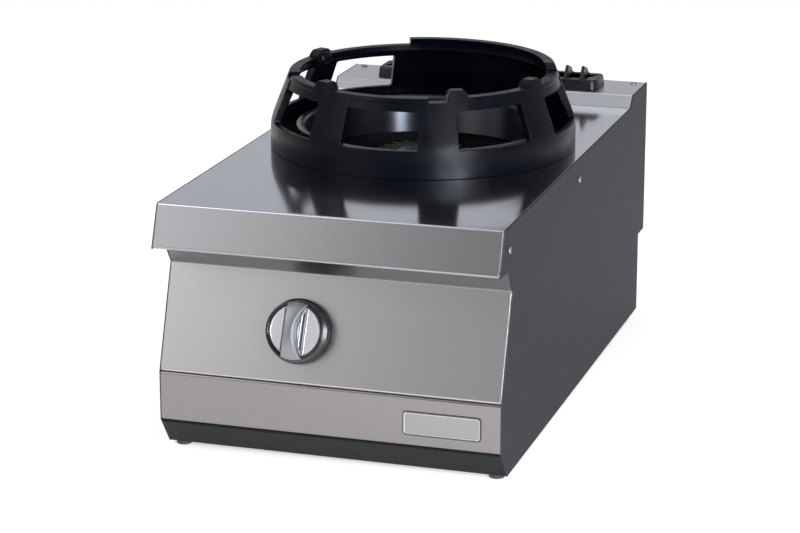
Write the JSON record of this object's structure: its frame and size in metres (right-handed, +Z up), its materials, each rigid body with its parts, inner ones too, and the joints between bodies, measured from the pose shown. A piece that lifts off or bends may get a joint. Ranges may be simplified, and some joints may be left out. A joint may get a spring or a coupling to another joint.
{
  "type": "wok range",
  "caption": "Countertop gas wok range: stainless cabinet with a raked front, cast wok ring over a well burner, push-and-turn knob and a lift-off flue grille",
  "frame": {"origin": "centre of the footprint, on the surface that the feet stand on", "axes": "+X right as seen from the front, +Y to the back, +Z up"},
  "size_m": [0.4036, 0.7322, 0.3895],
  "materials": {
    "mirror_steel": "polished stainless sheet with a faint grain",
    "brushed_steel": "long-grain brushed stainless sheet",
    "dark_steel": "dark satin paint",
    "black_iron": "black enamelled casting with a soft gloss",
    "burner_iron": "raw dark casting",
    "black_enamel": "black enamel",
    "zinc_steel": "zinc-plated sheet",
    "cast_aluminium": "raw casting",
    "brass": "machined",
    "pipe_steel": "drawn tube",
    "copper": "drawn copper",
    "knob_black": "satin moulded plastic",
    "knob_silver": "silver satin coating",
    "screw_steel": "turned",
    "foot_black": "moulded"
  },
  "bodies": {
    "root": {"back_panel": "zinc_steel", "base_pan": "zinc_steel", "burner_body": "burner_iron", "burner_bowl": "black_enamel", "burner_bracket": "zinc_steel", "burner_collar": "mirror_steel", "control_panel": "brushed_steel", "feed_pipe": "pipe_steel", "flue_housing": "brushed_steel", "foot_front_left": "foot_black", "foot_front_right": "foot_black", "foot_nuts": "screw_steel", "foot_rear_left": "foot_black", "foot_rear_right": "foot_black", "gas_valve": "cast_aluminium", "holder_bracket": "zinc_steel", "injector": "brass", "injector_holder": "brass", "inlet_connector": "brass", "inlet_nut": "brass", "kick_plate": "dark_steel", "lower_front_panel": "brushed_steel", "manifold_pipe": "pipe_steel", "mixing_tube": "cast_aluminium", "name_plate": "brushed_steel", "pilot_bracket": "zinc_steel", "pilot_burner": "brass", "pilot_pipe": "pipe_steel", "pipe_clips": "zinc_steel", "side_panel_left": "brushed_steel", "side_panel_right": "brushed_steel", "side_screws": "screw_steel", "thermocouple": "pipe_steel", "thermocouple_lead": "copper", "upstand_screws": "screw_steel", "valve_bonnet": "cast_aluminium", "valve_screws": "screw_steel", "worktop": "mirror_steel", "worktop_rail_left": "zinc_steel", "worktop_rail_right": "zinc_steel"},
    "wok_ring": {"wok_ring": "black_iron"},
    "burner_cap": {"burner_cap": "burner_iron"},
    "flue_cover": {"flue_cover": "black_iron"},
    "air_shutter": {"air_shutter": "zinc_steel"},
    "plunger": {"valve_plunger": "brass"},
    "knob": {"valve_spindle": "pipe_steel", "knob_body": "knob_black", "knob_face": "knob_silver"}
  },
  "joints": [
    {"name": "wok_ring_lift", "type": "slide", "parent": "root", "child": "wok_ring", "axis": [0, 0, 1], "range_m": [0, 0.12]},
    {"name": "burner_cap_lift", "type": "slide", "parent": "root", "child": "burner_cap", "axis": [0, 0, 1], "range_m": [0, 0.1]},
    {"name": "flue_cover_lift", "type": "slide", "parent": "root", "child": "flue_cover", "axis": [0, 0, 1], "range_m": [0, 0.05]},
    {"name": "air_shutter_turn", "type": "hinge", "parent": "root", "child": "air_shutter", "pos_m": [0, -0.22405, 0.115], "axis": [0, 1, 0], "range_deg": [0, 45]},
    {"name": "knob_push", "type": "slide", "parent": "root", "child": "plunger", "axis": [0, 0.9446, -0.3282], "range_m": [0, 0.0035], "stiffness_N_per_m": 2000, "springref_m": -0.003},
    {"name": "knob_turn", "type": "hinge", "parent": "plunger", "child": "knob", "pos_m": [-0.038, -0.33172, 0.1522], "axis": [0, -0.9446, 0.3282], "range_deg": [0, 180]}
  ]
}
